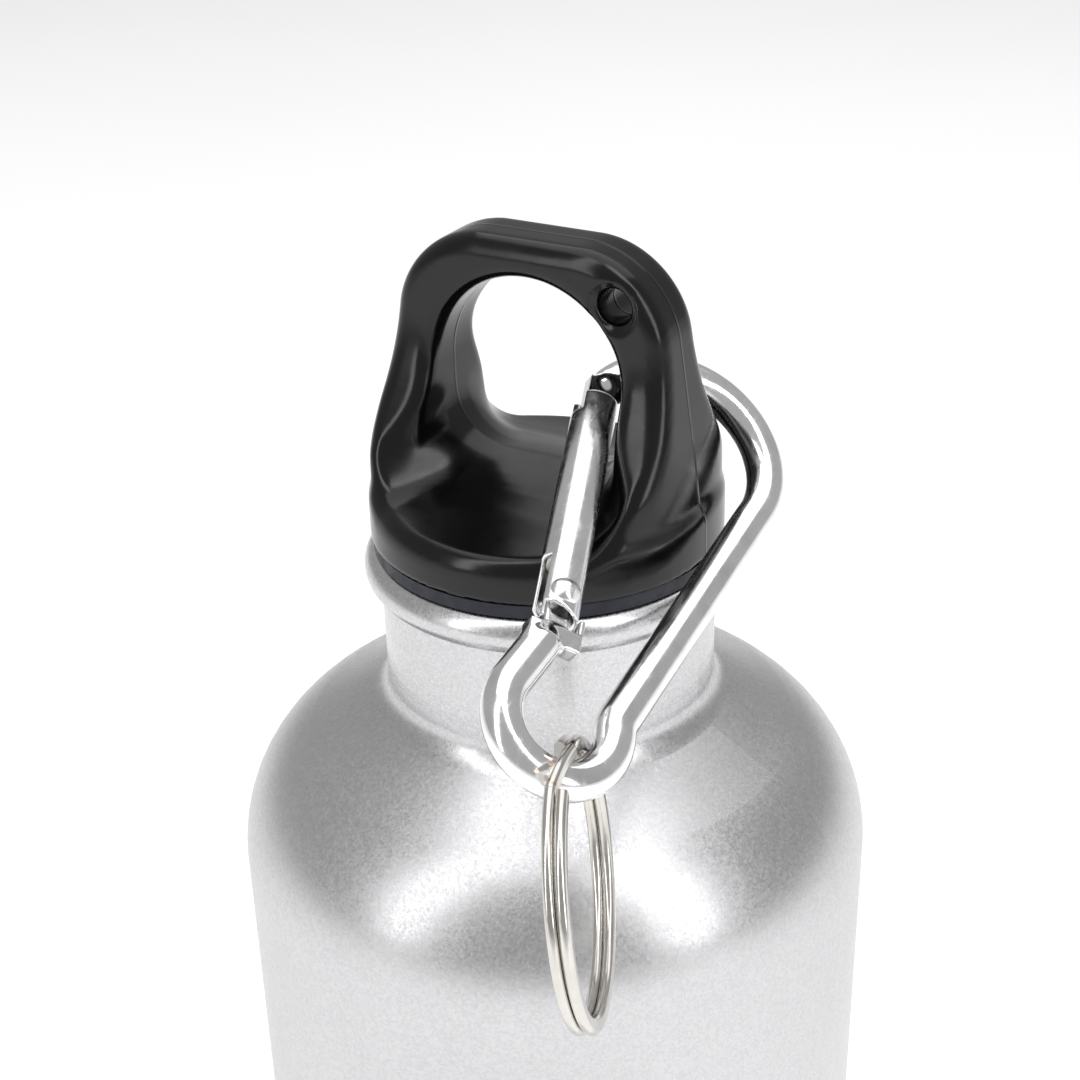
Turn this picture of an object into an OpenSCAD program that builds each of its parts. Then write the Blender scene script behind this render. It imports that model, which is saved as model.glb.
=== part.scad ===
// Aluminium screw-cap canteen with a loop cap, a carabiner and a split key ring.
// Z is the bottle's axis and z = 0 is the surface it stands on.
// The cap's carrying loop lies in the XZ plane, so the finger hole runs along Y.

/* [Bottle] */
// Outside radius of the body
body_r = 33; // [30:0.5:36]
// Height of the straight wall, from the floor to where the shoulder starts
wall_top = 148; // [120:1:200]
// Thickness of the aluminium
wall = 1; // [0.8:0.1:1.2]
// Outside radius of the neck
neck_r = 16.8; // [16.6:0.1:17]
// Radius of the shoulder's convex arc
shoulder_r = 15.3; // [14:0.1:16]
// Angle through which the shoulder arc turns
shoulder_turn = 60; // [55:1:62]
// Radius of the fillet between shoulder and neck
neck_fillet = 3; // [2:0.1:4]
// Outside radius of the rolled bead at the mouth
bead_r = 18.4; // [18.2:0.1:18.6]
// Radius of the bead's round section
bead_section = 2; // [1.8:0.1:2.1]
// Radius of the rounded edge at the foot
foot_r = 6; // [4:0.5:8]
// Rise of the domed underside
dome_rise = 5; // [3:0.5:7]

/* [Screw thread] */
// Rise in one turn
pitch = 4; // [3.5:0.25:4.5]
// Turns of thread in the neck and on the plug
turns = 2; // [1.5:0.5:2]

/* [Cap] */
// Radius of the cap's flange
flange_r = 17.2; // [17:0.1:17.6]
// Height of the flange, up to the lip of the thumb dish
flange_h = 4.9; // [4.7:0.1:5.1]
// Height of the top of the loop above the seal
loop_h = 29.9; // [28:0.1:31]
// Half the width of the loop at its shoulders
loop_half_w = 14.4; // [14:0.1:15]
// Half the thickness of the loop at the top
loop_half_t = 3.9; // [3.6:0.1:4.2]
// Radius of the loop's upper corners
loop_corner = 8.2; // [7.5:0.1:8.5]
// Radius of the finger hole's upper half
finger_r = 9.4; // [9:0.1:9.5]
// Radius of the small lanyard hole
lanyard_r = 1.7; // [1.5:0.1:1.8]
// Thickness of the silicone seal
seal_t = 1.3; // [1:0.1:1.5]

/* [Carabiner] */
// Radius of the carabiner's rod
rod_r = 1.85; // [1.7:0.05:1.9]
// Radius of the eye, to the middle of the rod
eye_r = 5.3; // [5:0.1:5.5]
// Outside radius of the gate tube
gate_r = 2.1; // [2:0.05:2.15]
// Wall of the gate tube
gate_wall = 0.4; // [0.35:0.05:0.45]
// Length of the gate tube
gate_len = 24.6; // [24:0.1:25]
// Radius of the hinge rivet
rivet_r = 0.7; // [0.6:0.05:0.8]

/* [Key ring] */
// Outside radius of the split ring
ring_r = 12.25; // [11.5:0.25:13]
// Width of its flattened wire, across the ring
ring_wire_w = 1.5; // [1.3:0.1:1.6]
// Thickness of its wire; the two turns lie side by side
ring_wire_t = 0.95; // [0.8:0.05:1]

/* [Hidden] */
$fn = 64;
tiny = 0.01;
big = 200;

// Bottle profile: where the shoulder arc ends, where the fillet starts and where the neck starts.
arc_x = body_r - shoulder_r;
cone_bottom = [arc_x + shoulder_r * cos(shoulder_turn), wall_top + shoulder_r * sin(shoulder_turn)];
fillet_x = neck_r + neck_fillet;
cone_top_x = fillet_x - neck_fillet * cos(shoulder_turn);
cone_run = (cone_bottom.x - cone_top_x) / sin(shoulder_turn);
cone_top = [cone_top_x, cone_bottom.y + cone_run * cos(shoulder_turn)];
neck_z = cone_top.y + neck_fillet * sin(shoulder_turn);
bead_x = bead_r - bead_section;
bead_z = neck_z + 12.5;
rim_z = bead_z + bead_section;
neck_wall = 1.2;
mouth_r = neck_r - neck_wall;
dome_chord = 24;
dome_r = (dome_chord * dome_chord + dome_rise * dome_rise) / (2 * dome_rise);

// Thread: short ridges that follow a helix, with vent slots between them. The ridges of the
// neck and of the plug run half a turn apart.
ridge_root = 1.7;
ridge_crest = 0.9;
ridge_span = 52;
ridges_per_turn = 6;
neck_ridge_r = mouth_r - 0.9;
plug_r = neck_ridge_r - 0.45;
plug_ridge_r = mouth_r - 0.4;
thread_z = rim_z - 11.5;

// Cap heights.
seal_gap = 0.05;
seal_z = rim_z + seal_gap;
cap_z = seal_z + seal_t;
loop_top = cap_z + loop_h;
corner_z = loop_top - loop_corner;
corner_x = loop_half_w - loop_corner;
loop_draft = 8;
hole_z = loop_top - 4.3 - finger_r;
saddle_z = hole_z - 8;
saddle_corner = 4;
dish_drop = 12;
flare_r = 18.3;
flare_z = loop_top - 7.8;
flare_y = loop_half_t + flare_r;
lanyard_at = [9.3, 0, loop_top - 4.8];
lanyard_sink = 0.5;
loop_edge = 1.5;
mouth_chamfer = 1.3;
plug_wall = 1.7;
plug_len = 14.5;
spigot_r = 12.2;
spigot_h = 3.2;

// Carabiner: where its eye is and how its plane lies. Local x points from gate to spine and
// local y runs from the eye to the nose.
carabiner_at = [17.4, -29, cap_z - 1.75];
carabiner_turn = [31.7, 29.3, 34.9];
gate_x = -2.2;
rivet_y = 11.3;
gate_y = 9;
gate_top = gate_y + gate_len;
bore_r = gate_r - gate_wall;
web_y = gate_top - 5.4;
rivet_hole_r = rivet_r + 0.05;
tab_half_t = 0.85;
tab_half_w = 1.15;
tab_neck_half_w = 0.75;
tab_reach = 3.2;
tongue_half_t = 0.9;
tongue_bottom = 31.8;
tongue_x = [-3.45, -0.95];
slot_half_t = 1.15;
cheek_y = [7, 8.3];
neck_angle = 156.5;
neck_len = 5;
kink_angle = 8;
kink_r = 3;
spine_angle = 21.4;
spine_len = 29;
top_r = 8.8;
nose_r = 10.4;
nose_angle = 150;
join = 0.05;
collar_rise = 0.03;
collar_len = 0.4;
neck_from = eye_r * [cos(neck_angle), sin(neck_angle)];
neck_to = neck_from + neck_len * [sin(neck_angle), -cos(neck_angle)];
kink_from = eye_r * [cos(kink_angle), sin(kink_angle)];
kink_at = (eye_r + kink_r) * [cos(kink_angle), sin(kink_angle)];
spine_from = kink_at + kink_r * [-cos(spine_angle), sin(spine_angle)];
spine_to = spine_from + spine_len * [sin(spine_angle), cos(spine_angle)];
top_at = spine_to + top_r * [-cos(spine_angle), sin(spine_angle)];
top_to = top_at + [0, top_r];
nose_at = top_to - [0, nose_r];
nose_to = nose_at + nose_r * [cos(nose_angle), sin(nose_angle)];

// Gate spring and the plunger that carries its push to the frame's tab.
plunger_y = rivet_y + tab_reach + 0.05;
plunger_len = 1.5;
spring_wire = 0.4;
spring_r = 1.2;
spring_turns = 10;
spring_steps = 12;

// Key ring: hangs from the lowest point of the eye.
ring_at = [22.59, -34.99, 171.11];
ring_turn = [82.5, 0, 112.3];
ring_mid_r = ring_r - ring_wire_w / 2;
ring_offset = ring_wire_t / 2 + 0.03;
ring_top = 90;
jog_half = 14;
jog_tilt = atan(ring_offset / (ring_mid_r * sin(jog_half)));

module place_carabiner() {
    translate(carabiner_at) rotate(carabiner_turn) children();
}

// A piece of the rod bent to a radius, from one angle to another. Each piece of rod stops
// a little short of its ends, where a collar takes over.
module bend(at, r, from, to) {
    cut = join * 180 / (PI * r);
    translate([at.x, at.y, 0])
        rotate([0, 0, from + cut])
            rotate_extrude(angle = to - from - 2 * cut)
                translate([r, 0]) circle(r = rod_r);
}

// A straight piece of the rod between two points of the carabiner's plane.
module straight(from, to) {
    translate([from.x, from.y, 0])
        rotate([0, 0, atan2(to.y - from.y, to.x - from.x)])
            translate([join, 0, 0])
                rotate([0, 90, 0]) cylinder(r = rod_r, h = norm(to - from) - 2 * join);
}

// A short collar that carries the rod across the joint between two pieces.
module collar(at, angle) {
    translate([at.x, at.y, 0]) rotate([0, 0, angle])
        rotate([0, 90, 0]) cylinder(r = rod_r + collar_rise, h = collar_len, center = true);
}

// Rounds off the end of the rod.
module rod_end(at, angle) {
    translate([at.x, at.y, 0]) rotate([0, 0, angle])
        rotate([0, 90, 0]) sphere(r = rod_r + collar_rise);
}

// A round bar along the gate, between two heights of the carabiner's plane.
module gate_bar(from, to, r) {
    translate([gate_x, from, 0]) rotate([-90, 0, 0]) cylinder(r = r, h = to - from);
}

// A flat box in the carabiner's plane, from one corner to the opposite one.
module slab(x, y, half_t) {
    translate([x[0], y[0], -half_t]) cube([x[1] - x[0], y[1] - y[0], 2 * half_t]);
}

// Thread ridges on a right-hand helix. The crest is outside the root on a shaft, inside it in a bore.
module ridges(root_r, crest_r, start) {
    lead = atan(pitch / (2 * PI * crest_r));
    for (i = [0 : ridges_per_turn * turns - 1])
        rotate([0, 0, start + 360 * i / ridges_per_turn])
            translate([0, 0, thread_z + pitch * i / ridges_per_turn])
                rotate([lead, 0, 0])
                    rotate([0, 0, -ridge_span / 2])
                        rotate_extrude(angle = ridge_span)
                            polygon([[root_r, -ridge_root / 2], [root_r, ridge_root / 2],
                                [crest_r, ridge_crest / 2], [crest_r, -ridge_crest / 2]]);
}

// Half section of the solid bottle, or of its inside when inset is the wall thickness.
module bottle_section(inset) {
    corner_r = foot_r - inset;
    shoulder = shoulder_r - inset;
    fillet = neck_fillet + inset;
    bottom = [arc_x + shoulder * cos(shoulder_turn), wall_top + shoulder * sin(shoulder_turn)];
    top = [fillet_x - fillet * cos(shoulder_turn), neck_z - fillet * sin(shoulder_turn)];
    difference() {
        union() {
            translate([0, inset]) square([body_r - foot_r, foot_r]);
            translate([body_r - foot_r, foot_r]) circle(r = corner_r);
            translate([0, foot_r]) square([body_r - inset, wall_top - foot_r]);
            translate([arc_x, wall_top]) circle(r = shoulder);
            polygon([[0, wall_top], [arc_x, wall_top], bottom, top, [fillet_x, neck_z], [0, neck_z]]);
        }
        translate([fillet_x, neck_z]) circle(r = fillet);
        translate([-big, 0]) square([big, 2 * big]);
    }
}

module bottle_shell() color("silver") {
    difference() {
        rotate_extrude() difference() {
            union() {
                bottle_section(0);
                translate([0, neck_z - tiny]) square([neck_r, bead_z - neck_z]);
                translate([bead_x, bead_z]) circle(r = bead_section);
                translate([0, bead_z - 1]) square([bead_x, bead_section + 1]);
            }
            difference() {
                bottle_section(wall);
                translate([0, dome_rise - dome_r]) circle(r = dome_r + wall);
            }
            translate([0, dome_rise - dome_r]) circle(r = dome_r);
            translate([0, neck_z - 2]) square([mouth_r, big]);
            translate([-big, -big]) square([big, 3 * big]);
        }
    }
    ridges(mouth_r + 0.3, neck_ridge_r, 0);
}

module cap_seal() color("midnightblue") {
    translate([0, 0, seal_z]) difference() {
        cylinder(r = flange_r + 0.15, h = seal_t);
        translate([0, 0, -1]) cylinder(r = plug_r + 0.3, h = seal_t + 2);
    }
}

// Front view of the loop.
module loop_front() {
    side_x = corner_x + loop_corner * cos(loop_draft);
    side_z = corner_z - loop_corner * sin(loop_draft);
    foot_x = side_x + (side_z - cap_z) * tan(loop_draft);
    polygon([[-foot_x, cap_z], [foot_x, cap_z], [side_x, side_z], [corner_x, loop_top],
        [-corner_x, loop_top], [-side_x, side_z]]);
    for (side = [-1, 1]) translate([side * corner_x, corner_z]) circle(r = loop_corner);
}

// Side view of the loop: a slab with rounded top edges that flares out to the flange.
module loop_side() {
    inner = loop_half_t - loop_edge;
    difference() {
        polygon([[-flange_r, cap_z], [flange_r, cap_z], [flange_r, flare_z], [loop_half_t, flare_z],
            [loop_half_t, loop_top - loop_edge], [inner, loop_top], [-inner, loop_top],
            [-loop_half_t, loop_top - loop_edge], [-loop_half_t, flare_z], [-flange_r, flare_z]]);
        for (side = [-1, 1]) translate([side * flare_y, flare_z]) circle(r = flare_r);
    }
    for (side = [-1, 1]) translate([side * inner, loop_top - loop_edge]) circle(r = loop_edge);
}

// Front view of the finger hole: round above, flat with rounded corners below.
module finger_hole() {
    corner = finger_r - saddle_corner;
    translate([0, hole_z]) circle(r = finger_r);
    translate([-finger_r, saddle_z + saddle_corner]) square([2 * finger_r, hole_z - saddle_z - saddle_corner]);
    translate([-corner, saddle_z]) square([2 * corner, saddle_corner]);
    for (side = [-1, 1]) translate([side * corner, saddle_z + saddle_corner]) circle(r = saddle_corner);
}

// The finger hole opens out at both faces of the loop.
module hole_mouths() {
    for (turn = [90, 270])
        translate([0, 0, hole_z]) rotate([turn, 0, 0])
            translate([0, 0, loop_half_t - mouth_chamfer])
                cylinder(r1 = finger_r - tiny, r2 = finger_r + 2 * mouth_chamfer, h = 2 * mouth_chamfer);
}

// The thumb dish: a passage that widens and drops from the middle of the loop to the flange's lip.
module dish() {
    for (turn = [0, 180]) rotate([0, 0, turn]) intersection() {
        translate([0, 0, cap_z]) linear_extrude(height = hole_z - cap_z)
            polygon([[-5, 1], [5, 1], [8, -2], [finger_r, -3.6], [finger_r + 4.2, -8.5],
                [finger_r + 7, -20], [-finger_r - 7, -20], [-finger_r - 4.2, -8.5],
                [-finger_r, -3.6], [-8, -2]]);
        translate([0, 0, saddle_z]) rotate([dish_drop, 0, 0])
            translate([-big / 2, -big / 2, 0]) cube([big, big, big]);
    }
}

module cap() color("black") {
    difference() {
        union() {
            translate([0, 0, cap_z]) cylinder(r = flange_r, h = flange_h);
            intersection() {
                translate([0, 0, cap_z]) cylinder(r = flange_r, h = loop_h + 1);
                rotate([90, 0, 0]) linear_extrude(height = 3 * flange_r, center = true) loop_front();
                rotate([90, 0, 90]) linear_extrude(height = 3 * flange_r, center = true) loop_side();
            }
        }
        rotate([90, 0, 0]) linear_extrude(height = 3 * flange_r, center = true) finger_hole();
        hole_mouths();
        dish();
        translate(lanyard_at) rotate([90, 0, 0]) cylinder(r = lanyard_r, h = 3 * flange_r, center = true);
        for (turn = [90, 270])
            translate(lanyard_at) rotate([turn, 0, 0])
                translate([0, 0, loop_half_t - lanyard_sink])
                    cylinder(r = lanyard_r + 0.6, h = 2 * lanyard_sink);
        translate([0, 0, cap_z - 1]) cylinder(r = spigot_r, h = spigot_h + 1);
    }
}

module cap_plug() color("black") {
    difference() {
        union() {
            translate([0, 0, cap_z - plug_len]) cylinder(r = plug_r, h = plug_len);
            translate([0, 0, cap_z - tiny]) cylinder(r = spigot_r, h = spigot_h + tiny);
        }
        translate([0, 0, cap_z - plug_len + plug_wall])
            cylinder(r = spigot_r - plug_wall, h = plug_len + spigot_h);
    }
    ridges(plug_r - 0.3, plug_ridge_r, 180);
}

// Eye, spine, hooked nose with its flattened tongue, and the flattened cheek and tab that carry
// the gate.
module carabiner_frame() color("gainsboro") place_carabiner() {
    difference() {
        union() {
            straight(neck_from, neck_to);
            bend([0, 0], eye_r, neck_angle, 360 + kink_angle);
            bend(kink_at, kink_r, 180 - spine_angle, 180 + kink_angle);
            straight(spine_from, spine_to);
            bend(top_at, top_r, -spine_angle, 90);
            bend(nose_at, nose_r, 90, nose_angle);
            collar(neck_from, neck_angle - 90);
            collar(kink_from, kink_angle + 90);
            collar(spine_from, 90 - spine_angle);
            collar(spine_to, 90 - spine_angle);
            collar(top_to, 180);
            rod_end(nose_to, nose_angle + 90);
            slab([-4.7, 0.5], cheek_y, 1);
            slab([0.05, 0.6], [cheek_y[0] + 0.1, 9.9], 0.6);
            slab([gate_x - tab_half_w, gate_x + tab_neck_half_w], [cheek_y[0] + 0.2, rivet_y], tab_half_t);
            slab([gate_x - tab_half_w, gate_x + tab_half_w], [rivet_y - 0.9, rivet_y + 1], tab_half_t);
            intersection() {
                slab([gate_x - tab_half_w, gate_x + tab_half_w], [rivet_y + 0.5, gate_top], tab_half_t);
                translate([gate_x, rivet_y, 0]) cylinder(r = tab_reach, h = 4, center = true);
            }
            slab(tongue_x, [tongue_bottom, nose_to.y], tongue_half_t);
        }
        translate([gate_x, rivet_y, 0]) cylinder(r = rivet_hole_r, h = 4, center = true);
    }
}

// Drilled from below for the tab and the spring, slotted at both ends on its outer side.
module gate_tube() color("silver") place_carabiner() {
    difference() {
        gate_bar(gate_y, gate_top, gate_r);
        gate_bar(gate_y - 1, web_y, bore_r);
        slab([gate_x - 2 * gate_r, gate_x - bore_r / 2], [gate_y - 1, rivet_y + tab_reach + 0.4], 1);
        slab([gate_x - 2 * gate_r, tongue_x[1] + 0.35], [tongue_bottom - 0.35, gate_top + 1], slot_half_t);
        translate([gate_x + gate_r, gate_y, 0]) rotate([0, 0, 165])
            translate([-1, 0, -gate_r - 1]) cube([3 * gate_r, 3 * gate_r, 2 * gate_r + 2]);
        translate([gate_x, rivet_y, 0]) cylinder(r = rivet_r, h = 3 * gate_r, center = true);
    }
}

// The shank and its two domed heads, seated on the round of the gate.
module gate_rivet() color("gainsboro") place_carabiner() {
    translate([gate_x, rivet_y, 0]) cylinder(r = rivet_r, h = 2 * gate_r + 0.6, center = true);
    difference() {
        for (side = [-1, 1]) translate([gate_x, rivet_y, side * (gate_r - 0.95)]) sphere(r = 1.5);
        gate_bar(rivet_y - 3, rivet_y + 3, gate_r + 0.01);
    }
}

// Compression spring between the plunger and the closed end of the gate's bore.
module gate_spring() color("gray") place_carabiner() {
    from = plunger_y + plunger_len + spring_wire / 2 + 0.02;
    rise = web_y - from - spring_wire / 2 - 0.02;
    count = spring_turns * spring_steps;
    points = [for (i = [0 : count], k = [0 : 5])
        let (a = 360 * i / spring_steps, b = 60 * k, r = spring_r + spring_wire / 2 * cos(b))
        [gate_x + r * cos(a), from + rise * i / count + spring_wire / 2 * sin(b), r * sin(a)]];
    sides = [for (i = [0 : count - 1], k = [0 : 5])
        let (a = 6 * i + k, b = 6 * i + (k + 1) % 6)
        each [[a, b, b + 6], [a, b + 6, a + 6]]];
    caps = [for (k = [1 : 4]) each [[0, k + 1, k], [6 * count, 6 * count + k, 6 * count + k + 1]]];
    polyhedron(points, concat(sides, caps), convexity = 10);
}

module gate_plunger() color("goldenrod") place_carabiner() {
    gate_bar(plunger_y, plunger_y + plunger_len, bore_r - 0.1);
}

// Section of the ring's wire, standing off the ring's middle plane. grow thickens it.
module wire_section(offset_z, grow) {
    r = ring_wire_t / 2;
    reach = ring_wire_w / 2 - r;
    translate([ring_mid_r, offset_z]) {
        for (side = [-1, 1]) translate([side * reach, 0]) circle(r = r + grow);
        translate([-reach, -r - grow]) square([2 * reach, 2 * (r + grow)]);
    }
}

// One turn of the ring, from one side of the jog round to the other.
module ring_arc(from, to, offset_z, grow) {
    rotate([0, 0, ring_top + from]) rotate_extrude(angle = to - from) wire_section(offset_z, grow);
}

// Two turns of wire side by side, joined by a jog. One cut end lies on each side of the jog.
module split_key_ring() color("silver") {
    translate(ring_at) rotate(ring_turn) {
        ring_arc(jog_half + 2, 360 - jog_half - 0.3, ring_offset, 0);
        ring_arc(jog_half + 0.3, 360 - jog_half - 2, -ring_offset, 0);
        ring_arc(-jog_half - 0.6, -jog_half + 0.6, ring_offset, 0.02);
        ring_arc(jog_half - 0.6, jog_half + 0.6, -ring_offset, 0.02);
        rotate([0, 0, ring_top]) rotate([-jog_tilt, 0, 0]) rotate([0, 0, -ring_top])
            ring_arc(-jog_half, jog_half, 0, 0);
    }
}

bottle_shell();
cap_seal();
cap();
cap_plug();
carabiner_frame();
gate_tube();
gate_rivet();
gate_spring();
gate_plunger();
split_key_ring();
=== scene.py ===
import math

import bmesh
import bpy
import numpy as np
from mathutils import Matrix, Vector


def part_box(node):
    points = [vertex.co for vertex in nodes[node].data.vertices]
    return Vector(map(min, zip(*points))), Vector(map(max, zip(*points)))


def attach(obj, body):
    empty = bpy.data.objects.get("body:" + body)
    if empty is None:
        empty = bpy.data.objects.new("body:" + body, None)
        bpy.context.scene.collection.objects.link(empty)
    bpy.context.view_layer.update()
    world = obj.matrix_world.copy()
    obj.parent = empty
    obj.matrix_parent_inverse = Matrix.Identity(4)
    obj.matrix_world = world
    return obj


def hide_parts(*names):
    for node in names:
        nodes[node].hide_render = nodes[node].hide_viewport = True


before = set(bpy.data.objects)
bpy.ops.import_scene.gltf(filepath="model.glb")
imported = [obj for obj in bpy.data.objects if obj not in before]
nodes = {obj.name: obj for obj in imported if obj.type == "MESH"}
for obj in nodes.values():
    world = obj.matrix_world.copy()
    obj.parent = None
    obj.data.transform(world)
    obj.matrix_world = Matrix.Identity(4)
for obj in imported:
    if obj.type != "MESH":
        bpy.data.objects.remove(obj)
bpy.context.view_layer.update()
bpy.context.scene.view_settings.view_transform = "Standard"

MM = 0.001
CAMERA_AT = (82.4, -142.6, 266.6)
CAMERA_FORWARD = (-0.4485, 0.7675, -0.4582)
CAMERA_ROLL = -1.483
LENS = 61.67
FLOOR_HALF_SIZE = 6
LIGHTS_AIM = (0, 0, 0.17)
WORLD_STRENGTH = 0.4


# ---------------------------------------------------------------- camera
def make_camera():
    """The photograph's viewpoint, worked out from the bottle's outline."""
    forward = Vector(CAMERA_FORWARD).normalized()
    right = forward.cross(Vector((0, 0, 1))).normalized()
    up = right.cross(forward)
    roll = math.radians(CAMERA_ROLL)
    tilted_right = right * math.cos(roll) + up * math.sin(roll)
    tilted_up = up * math.cos(roll) - right * math.sin(roll)
    cam = bpy.data.cameras.new("camera")
    cam.lens = LENS
    cam.sensor_width = 36
    cam.clip_start = 0.01
    cam.clip_end = 20
    ob = bpy.data.objects.new("camera", cam)
    bpy.context.scene.collection.objects.link(ob)
    m = Matrix((tilted_right, tilted_up, -forward)).transposed().to_4x4()
    m.translation = Vector(CAMERA_AT) * MM
    ob.matrix_world = m
    bpy.context.scene.camera = ob


make_camera()


# ---------------------------------------------------------------- materials
class Nodes:
    """A material with its principled shader and short calls for the nodes this scene uses.
    Patterns follow the object's own coordinates, in metres."""

    def __init__(self, name, **sockets):
        self.mat = bpy.data.materials.new(name)
        self.mat.use_nodes = True
        self.tree = self.mat.node_tree
        self.bsdf = self.tree.nodes["Principled BSDF"]
        for key, value in sockets.items():
            self.bsdf.inputs[key.replace("_", " ")].default_value = value
        self.coord = None

    def new(self, kind, **settings):
        n = self.tree.nodes.new(kind)
        for k, v in settings.items():
            setattr(n, k, v)
        return n

    def link(self, a, b):
        self.tree.links.new(a, b)

    def at(self, stretch=None):
        """Object coordinates, stretched along the axes whose factor is below 1."""
        if self.coord is None:
            self.coord = self.new("ShaderNodeTexCoord").outputs["Object"]
        if stretch is None:
            return self.coord
        m = self.new("ShaderNodeMapping")
        m.inputs["Scale"].default_value = stretch
        self.link(self.coord, m.inputs["Vector"])
        return m.outputs["Vector"]

    def axis(self, index):
        """One object coordinate: 0, 1 or 2 for x, y or z."""
        n = self.new("ShaderNodeSeparateXYZ")
        self.link(self.at(), n.inputs[0])
        return n.outputs[index]

    def noise(self, scale, detail=3.0, rough=0.5, stretch=None):
        n = self.new("ShaderNodeTexNoise")
        n.inputs["Scale"].default_value = scale
        n.inputs["Detail"].default_value = detail
        n.inputs["Roughness"].default_value = rough
        self.link(self.at(stretch), n.inputs["Vector"])
        return n.outputs["Fac"]

    def cells(self, scale):
        """Voronoi cells: the distance to a cell's middle, and a random red, green and blue for each cell."""
        n = self.new("ShaderNodeTexVoronoi", feature="F1")
        n.inputs["Scale"].default_value = scale
        self.link(self.at(), n.inputs["Vector"])
        parts = self.new("ShaderNodeSeparateColor")
        self.link(n.outputs["Color"], parts.inputs[0])
        return n.outputs["Distance"], parts.outputs

    def ramp(self, value, stops):
        """A colour ramp. Each stop is a position and a grey or a colour."""
        n = self.new("ShaderNodeValToRGB")
        e = n.color_ramp.elements
        while len(e) < len(stops):
            e.new(0.5)
        for el, (p, c) in zip(e, stops):
            el.position = p
            el.color = (c, c, c, 1) if isinstance(c, (int, float)) else (*c, 1)
        self.link(value, n.inputs["Fac"])
        return n.outputs["Color"]

    def spread(self, value, lo, hi, to_lo, to_hi):
        """Maps one range of a value to another."""
        n = self.new("ShaderNodeMapRange")
        for key, v in (("From Min", lo), ("From Max", hi), ("To Min", to_lo), ("To Max", to_hi)):
            n.inputs[key].default_value = v
        self.link(value, n.inputs["Value"])
        return n.outputs["Result"]

    def math(self, kind, *values):
        n = self.new("ShaderNodeMath", operation=kind)
        for i, v in enumerate(values):
            if isinstance(v, (int, float)):
                n.inputs[i].default_value = v
            else:
                self.link(v, n.inputs[i])
        return n.outputs[0]

    def mix(self, factor, a, b, kind="MIX"):
        n = self.new("ShaderNodeMix", data_type="RGBA", blend_type=kind)
        self.link(factor, n.inputs["Factor"])
        for i, v in ((6, a), (7, b)):
            if isinstance(v, tuple):
                n.inputs[i].default_value = (*v, 1)
            else:
                self.link(v, n.inputs[i])
        return n.outputs[2]

    def bump(self, height, strength, distance, under=None):
        n = self.new("ShaderNodeBump")
        n.inputs["Strength"].default_value = strength
        n.inputs["Distance"].default_value = distance
        self.link(height, n.inputs["Height"])
        if under is not None:
            self.link(under, n.inputs["Normal"])
        return n.outputs["Normal"]

    def set(self, key, value):
        self.link(value, self.bsdf.inputs[key])


def bottle_material():
    """Satin aluminium with the fine sparkle of a blasted surface: tiny grains, each a little
    brighter or darker and tipped its own way. Faint ring marks show where the neck was spun."""
    m = Nodes("satin_aluminium", Metallic=1.0, Roughness=0.36)
    z = m.axis(2)
    _, tone = m.cells(4200)
    grain = m.ramp(tone[0], [(0.0, 0.86), (0.6, 0.95), (0.95, 1.0), (1.0, 1.0)])
    cloud = m.noise(22, 4, 0.55)
    grey = m.ramp(cloud, [(0.3, (0.62, 0.62, 0.63)), (0.7, (0.68, 0.68, 0.69))])
    m.set("Base Color", m.mix(m.spread(cloud, 0.2, 0.8, 0.7, 1), grey, grain, "MULTIPLY"))
    turn = m.new("ShaderNodeTexNoise", noise_dimensions="1D")
    turn.inputs["Scale"].default_value = 900
    turn.inputs["Detail"].default_value = 4
    m.link(z, turn.inputs["W"])
    neck = m.spread(z, 0.160, 0.170, 0, 1)
    patches = m.spread(m.noise(60), 0.3, 0.7, -0.02, 0.02)
    rough = m.math("ADD", m.spread(tone[1], 0, 1, 0.30, 0.42), patches)
    m.set("Roughness", m.math("SUBTRACT", rough, m.math("MULTIPLY", neck, 0.06)))
    sparkle = m.bump(tone[2], 0.12, 0.00005)
    fine = m.bump(m.noise(5200, 2, 0.6), 0.10, 0.00004, sparkle)
    rings = m.math("MULTIPLY", turn.outputs["Fac"], neck)
    m.set("Normal", m.bump(rings, 0.30, 0.0001, fine))
    return m.mat


def black_plastic(name, grey):
    """Moulded plastic: a slightly uneven gloss, rare specks of dust and the mould's parting
    line, a fine step all round the loop at its middle plane."""
    m = Nodes(name, Roughness=0.3)
    m.bsdf.inputs["Specular IOR Level"].default_value = 0.4
    dark = (grey * 0.85, grey * 0.85, grey * 0.88)
    light = (grey * 1.5, grey * 1.5, grey * 1.55)
    base = m.ramp(m.noise(90, 4, 0.6), [(0.3, dark), (0.75, light)])
    middle, _ = m.cells(900)
    speck = m.ramp(middle, [(0.0, 1.0), (0.045, 0.0), (1.0, 0.0)])
    rare = m.ramp(m.noise(260, 2), [(0.60, 0.0), (0.68, 1.0)])
    dust = m.math("MULTIPLY", m.math("MULTIPLY", speck, rare), 0.35)
    m.set("Base Color", m.mix(dust, base, (0.35, 0.35, 0.36)))
    m.set("Roughness", m.spread(m.noise(240, 5, 0.65), 0.3, 0.7, 0.13, 0.24))
    parting = m.spread(m.math("ABSOLUTE", m.axis(1)), 0.0, 0.00022, 1, 0)
    line = m.bump(parting, 0.35, 0.00008)
    grain = m.bump(m.noise(2400, 3, 0.6), 0.05, 0.00005, line)
    m.set("Normal", m.bump(m.noise(140, 3), 0.05, 0.0004, grain))
    return m.mat


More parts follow.
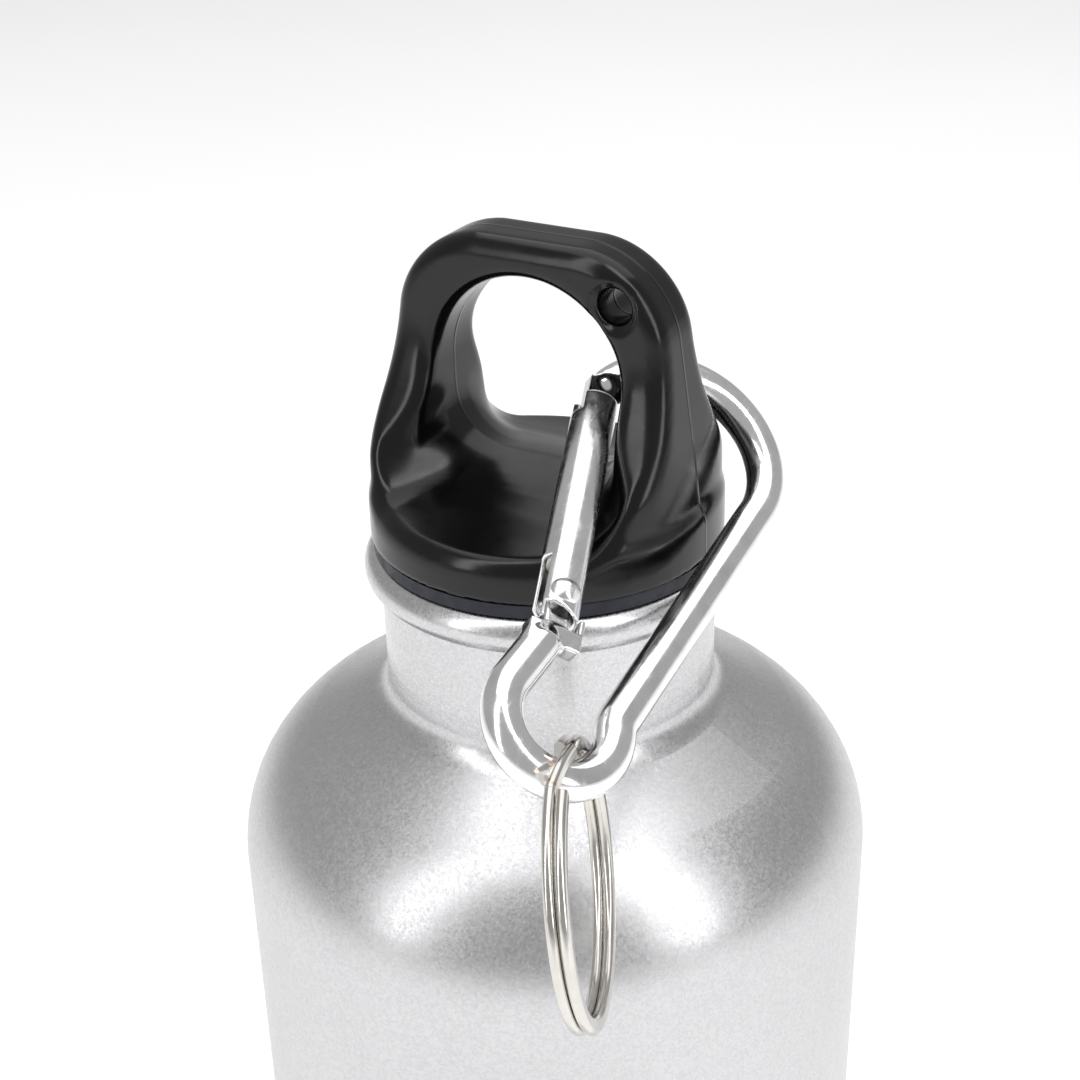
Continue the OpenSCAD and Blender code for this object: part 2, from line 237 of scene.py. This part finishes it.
def silicone():
    """Matte blue-black rubber."""
    m = Nodes("navy_silicone", Roughness=0.5)
    shades = [(0.3, (0.003, 0.004, 0.012)), (0.7, (0.006, 0.008, 0.020))]
    m.set("Base Color", m.ramp(m.noise(200, 3), shades))
    m.set("Roughness", m.spread(m.noise(700, 3), 0.3, 0.7, 0.42, 0.6))
    m.set("Normal", m.bump(m.noise(1500, 2), 0.12, 0.00008))
    return m.mat


def polished(name, tint=(0.93, 0.93, 0.935), rough=0.12, wear=1.0):
    """Tumbled metal: nearly mirror bright, with soft dents, hairline scratches and dull patches."""
    m = Nodes(name, Metallic=1.0, Roughness=rough)
    cloud = m.noise(260, 4, 0.6)
    dark = tuple(c * 0.86 for c in tint)
    m.set("Base Color", m.ramp(cloud, [(0.28, dark), (0.55, tint)]))
    scratches = m.noise(900, 2, 0.5, stretch=(1, 0.15, 0.25))
    lines = m.ramp(scratches, [(0.50, 0.0), (0.515, 1.0), (0.53, 0.0)])
    base = m.spread(m.noise(420, 4, 0.65), 0.3, 0.7, rough * 0.7, rough * 1.9)
    m.set("Roughness", m.math("ADD", base, m.math("MULTIPLY", lines, 0.10 * wear)))
    dents = m.bump(m.noise(300, 3, 0.5), 0.10 * wear, 0.0003)
    m.set("Normal", m.bump(scratches, 0.05 * wear, 0.0001, dents))
    return m.mat


def nickel():
    """Nickel plate on steel wire, with the copper layer showing near the wire's cut ends."""
    m = Nodes("nickel_plate", Metallic=1.0, Roughness=0.16)
    plate = m.ramp(m.noise(180), [(0.3, (0.60, 0.58, 0.54)), (0.65, (0.76, 0.74, 0.70))])
    low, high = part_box("split_key_ring")
    reach = 8 * MM
    from_top = m.new("ShaderNodeVectorMath", operation="DISTANCE")
    m.link(m.at(), from_top.inputs[0])
    from_top.inputs[1].default_value = ((low.x + high.x) / 2, (low.y + high.y) / 2, high.z)
    distance = m.math("MULTIPLY", from_top.outputs["Value"], 1 / reach)
    worn = m.ramp(distance, [(0.32, 0.0), (0.40, 1.0), (0.46, 0.0)])
    spots = m.ramp(m.noise(900), [(0.48, 0.0), (0.58, 1.0)])
    m.set("Base Color", m.mix(m.math("MULTIPLY", worn, spots), plate, (0.55, 0.27, 0.14)))
    m.set("Roughness", m.spread(m.noise(600, 4), 0.3, 0.7, 0.12, 0.26))
    m.set("Normal", m.bump(m.noise(700, 3), 0.08, 0.0001))
    return m.mat


def plain_plastic(name, colour):
    """Pale moulded plastic, for the plunger inside the gate."""
    m = Nodes(name, Roughness=0.5)
    cloud = m.noise(300, 3)
    m.set("Base Color", m.ramp(cloud, [(0.3, tuple(c * 0.85 for c in colour)), (0.7, colour)]))
    m.set("Normal", m.bump(m.noise(1800, 2), 0.08, 0.00006))
    return m.mat


mats = {
    "bottle_shell": bottle_material(),
    "cap_seal": silicone(),
    "cap": black_plastic("black_plastic", 0.002),
    "cap_plug": black_plastic("plug_plastic", 0.012),
    "carabiner_frame": polished("polished_aluminium"),
    "gate_tube": polished("gate_aluminium", (0.90, 0.90, 0.91), 0.16),
    "gate_rivet": polished("rivet_aluminium", (0.88, 0.88, 0.89), 0.2, 1.4),
    "gate_spring": polished("spring_steel", (0.6, 0.6, 0.6), 0.25),
    "gate_plunger": plain_plastic("plunger_plastic", (0.7, 0.68, 0.62)),
    "split_key_ring": nickel(),
}


def give(ob, mat):
    """Sets the object's one material."""
    ob.data.materials.clear()
    ob.data.materials.append(mat)


# ---------------------------------------------------------------- shapes
# A shape is a distance field on a grid: negative inside, positive outside, in millimetres.
SMOOTH_PASSES = 2


def round_and(a, b, r):
    """Where both fields overlap, with their shared edge rounded to radius r."""
    p, q = a + r, b + r
    return np.minimum(np.maximum(p, q), 0) + np.hypot(np.maximum(p, 0), np.maximum(q, 0)) - r


def cut(a, b, r):
    """a with b taken away, and the edge between them rounded."""
    return round_and(a, -b, r)


def soft_or(a, b, r):
    """a and b together, with a fillet of about r between them."""
    return -round_and(-a, -b, r)


def block(p, low, high):
    """A box between two corners."""
    q = [np.abs(v - (lo + hi) / 2) - (hi - lo) / 2 for v, lo, hi in zip(p, low, high)]
    out = np.sqrt(sum(np.maximum(v, 0) ** 2 for v in q))
    return out + np.minimum(np.maximum(np.maximum(q[0], q[1]), q[2]), 0)


def rod(p, a, b, r):
    """A straight rod with round ends between two points of the xy plane."""
    (ax, ay), (bx, by) = a, b
    dx, dy = bx - ax, by - ay
    t = np.clip(((p[0] - ax) * dx + (p[1] - ay) * dy) / (dx * dx + dy * dy), 0, 1)
    return np.sqrt((p[0] - ax - t * dx) ** 2 + (p[1] - ay - t * dy) ** 2 + p[2] ** 2) - r


def bent_rod(p, at, bend_r, first, last, r):
    """A rod bent round a point of the xy plane, from one angle to another, with round ends."""
    x, y = p[0] - at[0], p[1] - at[1]
    middle, half = math.radians((first + last) / 2), math.radians((last - first) / 2)
    turn = np.angle(np.exp(1j * (np.arctan2(y, x) - middle)))
    turn = middle + np.clip(turn, -half, half)
    return np.sqrt((x - bend_r * np.cos(turn)) ** 2 + (y - bend_r * np.sin(turn)) ** 2 + p[2] ** 2) - r


def grid(low, high, step):
    """Points of a regular grid as three arrays, for x, y and z."""
    axes = [np.arange(lo, hi + step, step) for lo, hi in zip(low, high)]
    return np.meshgrid(*axes, indexing="ij")


def skin(name, p, field, place=None):
    """Turns a field into a mesh by surface nets, and moves it from millimetres into the frame."""
    low = np.array([v.flat[0] for v in p])
    step = p[0][1, 0, 0] - p[0][0, 0, 0]
    cells = tuple(n - 1 for n in field.shape)
    total, count = np.zeros((*cells, 3)), np.zeros(cells)
    ids = np.arange(count.size).reshape(cells)
    quads = []
    for a in range(3):
        b, c = (a + 1) % 3, (a + 2) % 3
        near = np.take(field, range(field.shape[a] - 1), a)
        far = np.take(field, range(1, field.shape[a]), a)
        crossed = (near < 0) != (far < 0)
        spot = np.argwhere(crossed)
        n, f = near[crossed], far[crossed]
        point = spot.astype(float)
        point[:, a] += n / (n - f)
        quad = []
        for db, dc in ((0, 0), (1, 0), (1, 1), (0, 1)):
            cell = spot.copy()
            cell[:, b] -= db
            cell[:, c] -= dc
            key = tuple(cell.T)
            np.add.at(total, key, point)
            np.add.at(count, key, 1)
            quad.append(ids[key])
        quad = np.stack(quad, 1)
        quad[n >= 0] = quad[n >= 0][:, ::-1]
        quads.append(quad)
    quads = np.concatenate(quads)
    used, faces = np.unique(quads, return_inverse=True)
    points = (total.reshape(-1, 3)[used] / count.reshape(-1)[used][:, None]) * step + low
    if place is not None:
        points = points @ np.array(place.to_3x3()).T + np.array(place.translation)
    mesh = bpy.data.meshes.new(name)
    mesh.from_pydata((points * MM).tolist(), [], faces.reshape(-1, 4).tolist())
    mesh.update()
    bm = bmesh.new()
    bm.from_mesh(mesh)
    axes = {"use_axis_x": True, "use_axis_y": True, "use_axis_z": True}
    for _ in range(SMOOTH_PASSES):
        bmesh.ops.smooth_vert(bm, verts=bm.verts, factor=0.5, **axes)
    bm.to_mesh(mesh)
    bm.free()
    mesh.shade_smooth()
    ob = bpy.data.objects.new(name, mesh)
    bpy.context.scene.collection.objects.link(ob)
    return ob


def put(ob, body, node):
    """Dresses a new piece like the CAD node it stands for, and lets it ride on the node's body."""
    give(ob, mats[node])
    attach(ob, body)
    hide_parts(node)


# ---------------------------------------------------------------- cap
# Sizes in millimetres, as in the CAD model. The cap's loop lies in the xz plane.
cap_low, cap_high = (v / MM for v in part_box("cap"))
FLANGE_R = cap_high.x
CAP_Z = cap_low.z
LOOP_TOP = cap_high.z
LIP_Z = CAP_Z + 4.9
HALF_T = 3.9
FLARE_R = 18.3
FLARE_Z = LOOP_TOP - 7.8
CORNER_R = 8.2
SIDE_X = 14.4
DRAFT = math.radians(8)
FINGER_R = 9.4
HOLE_Z = LOOP_TOP - 4.3 - FINGER_R
SADDLE_Z = HOLE_Z - 8
SADDLE_CORNER = 4
DISH_SLOPE = math.tan(math.radians(12))
DISH_SAG = 0.9
DISH_CORNER = 5.5
DISH_SPREAD = 0.55
LANYARD_X = 9.3
LANYARD_Z = LOOP_TOP - 4.8
LANYARD_R = 1.7
LANYARD_RIM = 0.6
LANYARD_SINK = 0.5
SPIGOT_R = 12.2
SPIGOT_H = 3.2
# Radii of the cap's softened edges
LOOP_EDGE = 1.9
RIM_EDGE = 1.2
LIP_EDGE = 1.0
HOLE_EDGE = 1.5
DISH_EDGE = 2.4
LANYARD_EDGE = 0.35
SINK_EDGE = 0.3


def build_cap():
    """The loop and flange with moulded, rounded edges, and thumb dishes that flow into the hole."""
    side_room = FLANGE_R + 1
    low = (-side_room, -side_room, CAP_Z - 1)
    high = (side_room, side_room, LOOP_TOP + 1)
    p = grid(low, high, 0.28)
    x, y, z = np.abs(p[0]), np.abs(p[1]), p[2]
    radius = np.hypot(x, y)

    # The loop's front outline, cut by its two flared faces and by the flange's round
    side = (x - SIDE_X) * math.cos(DRAFT) + (z - LOOP_TOP + CORNER_R) * math.sin(DRAFT)
    front = round_and(side, z - LOOP_TOP, CORNER_R)
    drop = np.clip(FLARE_Z - z, 0, FLARE_R - 0.5)
    rise = np.sqrt(FLARE_R ** 2 - drop ** 2)
    face = (y - HALF_T - FLARE_R + rise) * rise / FLARE_R
    loop = round_and(round_and(front, face, LOOP_EDGE), radius - FLANGE_R, RIM_EDGE)
    flange = round_and(radius - FLANGE_R, z - LIP_Z, LIP_EDGE)
    body = soft_or(loop, flange, RIM_EDGE)

    # Finger hole: round above, flat with rounded corners below
    from_hole = np.hypot(x, z - HOLE_Z)
    below = round_and(x - FINGER_R, SADDLE_Z - z, SADDLE_CORNER)
    hole = np.where(z > HOLE_Z, from_hole - FINGER_R, below)
    body = cut(body, hole, HOLE_EDGE)

    # Thumb dish: widens low down and away from the hole, with a slightly hollow floor
    low_down = np.clip((HOLE_Z - 1 - z) / 9, 0, 1)
    low_down = low_down * low_down * (3 - 2 * low_down)
    width = FINGER_R + low_down * DISH_SPREAD * np.clip(y - 2.2, 0, 20)
    sag = DISH_SAG * np.sin(np.clip(y / FLANGE_R, 0, 1) * math.pi)
    floor = SADDLE_Z - DISH_SLOPE * y - sag
    across = np.where(z > HOLE_Z, from_hole, x)
    dish = round_and(across - width, (floor - z) * 0.97, DISH_CORNER)
    body = cut(body, dish, DISH_EDGE)

    # Lanyard hole with a shallow sink on both faces
    lanyard = np.hypot(p[0] - LANYARD_X, z - LANYARD_Z) - LANYARD_R
    body = cut(body, lanyard, LANYARD_EDGE)
    sink = np.maximum(lanyard - LANYARD_RIM, HALF_T - LANYARD_SINK - y)
    body = cut(body, sink, SINK_EDGE)

    # Flat underside with the pocket for the plug's spigot
    body = np.maximum(body, CAP_Z - z)
    body = np.maximum(body, -np.maximum(radius - SPIGOT_R, z - CAP_Z - SPIGOT_H))
    put(skin("cap_smooth", p, body), "cap", "cap")


# ---------------------------------------------------------------- carabiner
# Drawn in its own plane: x points from the gate to the spine, y from the eye to the nose.
CARABINER_AT = (17.4, -29, CAP_Z - 1.75)
CARABINER_TURN = (31.7, 29.3, 34.9)
ROD_R = 1.85
EYE_R = 5.3
NECK_ANGLE = 156.5
NECK_LEN = 4.4
KINK_ANGLE = 8
KINK_R = 3
SPINE_ANGLE = 21.4
SPINE_LEN = 29
TOP_R = 8.8
NOSE_R = 10.4
NOSE_ANGLE = 150
CHEEK = ((-4.6, 6.4, -1), (0.4, 8.3, 1))
SPUR = ((0.05, 7.1, -0.6), (0.6, 9.9, 0.6))
TAB_HALF_T = 0.85
TONGUE_X = (-3.45, -0.95)
TONGUE_Y = 31.8
TONGUE_HALF_T = 0.9
GATE_X = -2.2
GATE_Y = 9
GATE_TOP = 33.6
GATE_R = 2.1
GATE_WALL = 0.4
GATE_PLUG = 5.4
GATE_BEVEL = 165
TAB_SLOT_HALF_T = 1
TONGUE_SLOT_HALF_T = 1.15
SLOT_EDGE = 0.12
RIVET_Y = 11.3
RIVET_R = 0.7
RIVET_HEAD_R = 1.5
RIVET_HEAD_SINK = 0.95
HAMMER_MARKS = 9


def heading(angle):
    """The unit vector at an angle in degrees."""
    return np.array([math.cos(math.radians(angle)), math.sin(math.radians(angle))])


def carabiner_place():
    rx, ry, rz = (math.radians(a) for a in CARABINER_TURN)
    turn = Matrix.Rotation(rz, 4, "Z") @ Matrix.Rotation(ry, 4, "Y") @ Matrix.Rotation(rx, 4, "X")
    return Matrix.Translation(CARABINER_AT) @ turn


def build_frame(place):
    """The bent rod, with its flattened cheek, tab and tongue forged into it."""
    p = grid((-8.5, -8, -2.3), (19.5, 43.7, 2.3), 0.17)
    eye_at = np.zeros(2)
    neck_from = EYE_R * heading(NECK_ANGLE)
    neck_to = neck_from + NECK_LEN * heading(NECK_ANGLE - 90)
    kink_at = (EYE_R + KINK_R) * heading(KINK_ANGLE)
    spine_from = kink_at + KINK_R * heading(180 - SPINE_ANGLE)
    spine_to = spine_from + SPINE_LEN * heading(90 - SPINE_ANGLE)
    top_at = spine_to + TOP_R * heading(180 - SPINE_ANGLE)
    nose_at = top_at + np.array([0, TOP_R - NOSE_R])
    nose_to = nose_at + NOSE_R * heading(NOSE_ANGLE)
    bar = bent_rod(p, eye_at, EYE_R, NECK_ANGLE, 360 + KINK_ANGLE, ROD_R)
    for part in (
        bent_rod(p, kink_at, KINK_R, 180 - SPINE_ANGLE, 180 + KINK_ANGLE, ROD_R),
        rod(p, spine_from, spine_to, ROD_R),
        bent_rod(p, top_at, TOP_R, -SPINE_ANGLE, 90, ROD_R),
        bent_rod(p, nose_at, NOSE_R, 90, NOSE_ANGLE, ROD_R),
        rod(p, neck_from, neck_to, ROD_R),
    ):
        bar = np.minimum(bar, part)
    tab_low = (GATE_X - 1.15, 7.2, -TAB_HALF_T)
    tab_high = (GATE_X + 1.1, RIVET_Y + 3, TAB_HALF_T)
    tongue_low = (TONGUE_X[0], TONGUE_Y, -TONGUE_HALF_T)
    tongue_high = (TONGUE_X[1], nose_to[1], TONGUE_HALF_T)
    bar = soft_or(bar, block(p, *CHEEK), 0.5)
    bar = np.minimum(bar, block(p, *SPUR))
    bar = np.minimum(bar, block(p, tab_low, tab_high))
    bar = soft_or(bar, block(p, tongue_low, tongue_high), 0.4)
    put(skin("carabiner_frame_smooth", p, bar, place), "carabiner", "carabiner_frame")


def build_gate(place):
    """A drilled tube with a slot at each end and a bevelled lower edge."""
    p = grid((-5.2, GATE_Y - 1, -3), (0.8, GATE_TOP + 1, 3), 0.1)
    x, y, z = p
    radius = np.hypot(x - GATE_X, z)
    tube = round_and(round_and(radius - GATE_R, GATE_Y - y, 0.15), y - GATE_TOP, 0.3)
    bore = np.maximum(radius - GATE_R + GATE_WALL, y - GATE_TOP + GATE_PLUG)
    tube = cut(tube, bore, 0.1)
    tab_low = (GATE_X - 6, GATE_Y - 1, -TAB_SLOT_HALF_T)
    tab_high = (GATE_X - 0.85, RIVET_Y + 3.6, TAB_SLOT_HALF_T)
    tube = cut(tube, block(p, tab_low, tab_high), SLOT_EDGE)
    tongue_low = (GATE_X - 6, TONGUE_Y - 0.35, -TONGUE_SLOT_HALF_T)
    tongue_high = (TONGUE_X[1] + 0.35, GATE_TOP + 2, TONGUE_SLOT_HALF_T)
    tube = cut(tube, block(p, tongue_low, tongue_high), SLOT_EDGE)
    cos_b, sin_b = heading(GATE_BEVEL)
    across = (x - GATE_X - GATE_R) * cos_b + (y - GATE_Y) * sin_b
    above = -(x - GATE_X - GATE_R) * sin_b + (y - GATE_Y) * cos_b
    tube = cut(tube, np.maximum(-above, -1 - across), SLOT_EDGE)
    put(skin("gate_tube_smooth", p, tube, place), "gate", "gate_tube")


def build_rivet(place):
    """The shank and its two domed heads, which keep small flats from the hammer."""
    room = RIVET_HEAD_R + 0.1
    low = (GATE_X - room, RIVET_Y - room, -2.9)
    high = (GATE_X + room, RIVET_Y + room, 2.9)
    p = grid(low, high, 0.06)
    x, y, z = p[0] - GATE_X, p[1] - RIVET_Y, p[2]
    out = np.abs(z) - GATE_R + RIVET_HEAD_SINK
    rng = np.random.default_rng(4)
    head = np.sqrt(x ** 2 + y ** 2 + out ** 2) - RIVET_HEAD_R
    for _ in range(HAMMER_MARKS):
        a, t = rng.uniform(0, 2 * math.pi), rng.uniform(0.2, 0.95)
        n = np.array([math.cos(a) * t, math.sin(a) * t, 1.0])
        n /= np.linalg.norm(n)
        flat = x * n[0] + y * n[1] + out * n[2] - rng.uniform(1.34, 1.46)
        head = round_and(head, flat, 0.08)
    head = np.maximum(head, GATE_R - 0.1 - np.hypot(x, z))
    shank = np.maximum(np.hypot(x, y) - RIVET_R, np.abs(z) - GATE_R)
    put(skin("gate_rivet_smooth", p, np.minimum(head, shank), place), "gate", "gate_rivet")


for name, mat in mats.items():
    give(nodes[name], mat)
build_cap()
carabiner = carabiner_place()
build_frame(carabiner)
build_gate(carabiner)
build_rivet(carabiner)


# ---------------------------------------------------------------- studio
def make_floor():
    mesh = bpy.data.meshes.new("floor")
    bm = bmesh.new()
    bmesh.ops.create_grid(bm, x_segments=1, y_segments=1, size=FLOOR_HALF_SIZE)
    bm.to_mesh(mesh)
    bm.free()
    ob = bpy.data.objects.new("floor", mesh)
    bpy.context.scene.collection.objects.link(ob)
    m = Nodes("floor", Roughness=0.75, Emission_Color=(1, 1, 1, 1), Emission_Strength=0.28)
    shades = [(0.3, (0.93, 0.93, 0.93)), (0.7, (0.96, 0.96, 0.96))]
    m.set("Base Color", m.ramp(m.noise(3, 3), shades))
    give(ob, m.mat)


def make_world():
    world = bpy.data.worlds.new("studio")
    bpy.context.scene.world = world
    world.use_nodes = True
    background = world.node_tree.nodes["Background"]
    background.inputs["Color"].default_value = (1, 1, 1, 1)
    background.inputs["Strength"].default_value = WORLD_STRENGTH


def softbox(name, azimuth, elevation, distance, size, watts):
    """An area light aimed at the shoulder from a direction round the bottle, in degrees."""
    a, e = math.radians(azimuth), math.radians(elevation)
    aim = Vector(LIGHTS_AIM)
    away = Vector((math.cos(a) * math.cos(e), math.sin(a) * math.cos(e), math.sin(e)))
    data = bpy.data.lights.new(name, "AREA")
    data.shape = "RECTANGLE"
    data.size, data.size_y = size
    data.energy = watts
    ob = bpy.data.objects.new(name, data)
    bpy.context.scene.collection.objects.link(ob)
    ob.location = aim + distance * away
    ob.rotation_euler = (-away).to_track_quat("-Z", "Y").to_euler()


make_floor()
make_world()
softbox("left_box", -114, 42, 0.9, (0.2, 1.5), 3.2)
softbox("right_box", -14, 42, 0.9, (0.26, 1.5), 4.2)
softbox("top_box", 100, 70, 1.3, (1.4, 1.4), 7)
